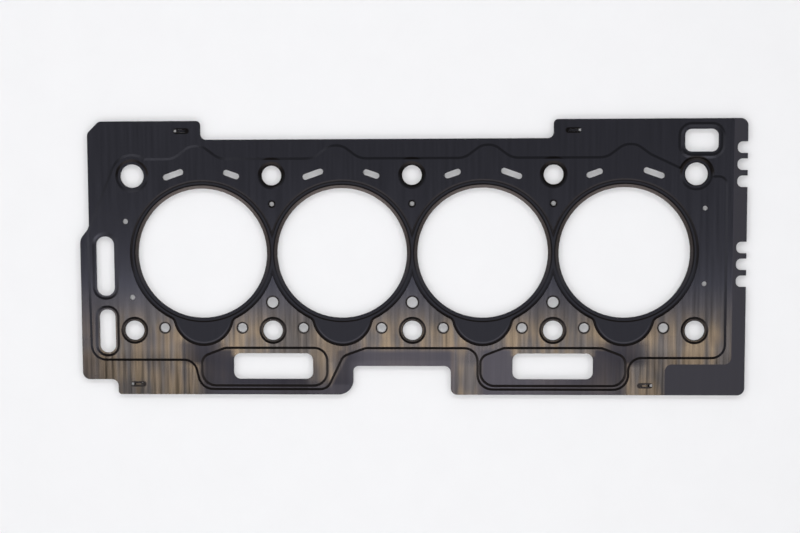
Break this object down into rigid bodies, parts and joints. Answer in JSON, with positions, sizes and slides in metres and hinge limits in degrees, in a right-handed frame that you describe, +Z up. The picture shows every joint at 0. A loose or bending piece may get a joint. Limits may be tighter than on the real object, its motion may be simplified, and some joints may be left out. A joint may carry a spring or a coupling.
{
  "type": "cylinder head gasket",
  "caption": "Flat coated steel gasket for an inline engine, with a row of bore openings, embossed sealing beads, bolt, dowel, coolant and oil openings, and a notched end",
  "frame": {"origin": "midway between the second and third bore on the bore line, in the plane that the gasket rests on", "axes": "+X along the row of bores toward the notched end, +Y across the engine toward the dowel holes, +Z up toward the cylinder head"},
  "size_m": [0.4029, 0.1666, 0.0012],
  "materials": {
    "rubber_coated_steel": "satin"
  },
  "bodies": {
    "root": {"gasket_sheets": "rubber_coated_steel"}
  },
  "joints": []
}
